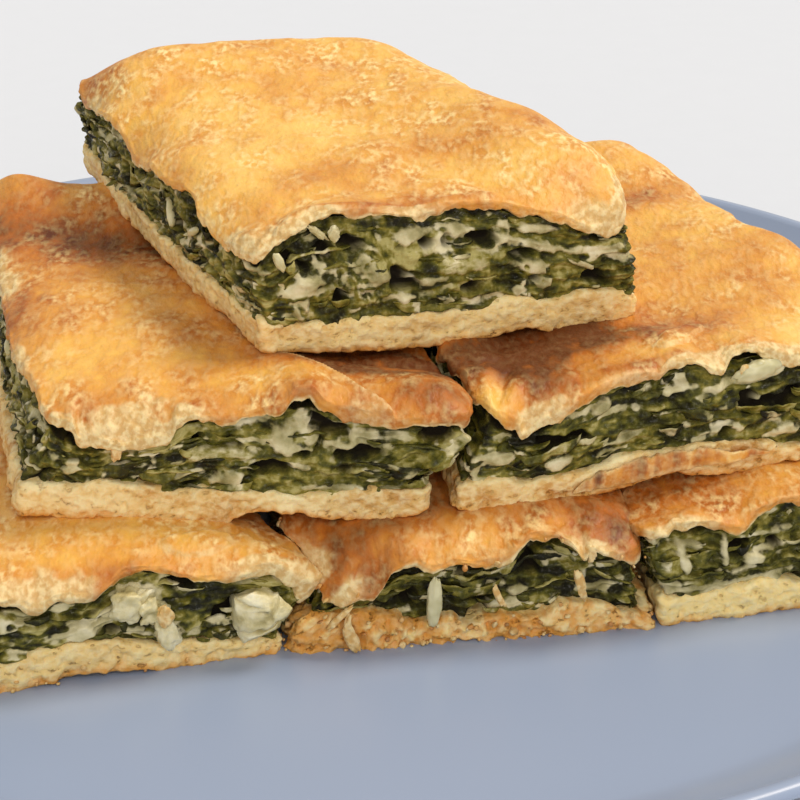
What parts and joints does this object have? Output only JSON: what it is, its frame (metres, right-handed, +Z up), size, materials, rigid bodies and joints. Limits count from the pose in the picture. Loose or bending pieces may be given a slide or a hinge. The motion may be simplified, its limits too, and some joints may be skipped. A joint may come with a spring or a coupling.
{
  "type": "plate of spanakopita pie slices",
  "caption": "Pyramid pile of spinach and cheese pie slices with thick base, green filling and puffed golden crust, on a round blue-grey plate.",
  "frame": {"origin": "on the surface the plate stands on, under the plate's centre", "axes": "+Z up; the cut ends of the slices face -Y"},
  "size_m": [0.342, 0.342, 0.0837],
  "materials": {
    "glazed_plate": "satin blue-grey glaze",
    "baked_base": "pale baked dough with fine pores, matte",
    "spinach_filling": "cooked spinach, dark green and wet",
    "golden_crust": "golden baked crust, brushed with oil, satin",
    "white_cheese": "crumbly white cheese, moist"
  },
  "bodies": {
    "root": {"plate": "glazed_plate", "bottom_left_base": "baked_base", "bottom_left_filling": "spinach_filling", "bottom_left_lid": "golden_crust", "bottom_centre_base": "baked_base", "bottom_centre_filling": "spinach_filling", "bottom_centre_lid": "golden_crust", "bottom_right_base": "baked_base", "bottom_right_filling": "spinach_filling", "bottom_right_lid": "golden_crust", "middle_left_base": "baked_base", "middle_left_filling": "spinach_filling", "middle_left_lid": "golden_crust", "middle_right_base": "baked_base", "middle_right_filling": "spinach_filling", "middle_right_lid": "golden_crust", "top_base": "baked_base", "top_filling": "spinach_filling", "top_lid": "golden_crust", "cheese_chunk": "white_cheese"}
  },
  "joints": []
}
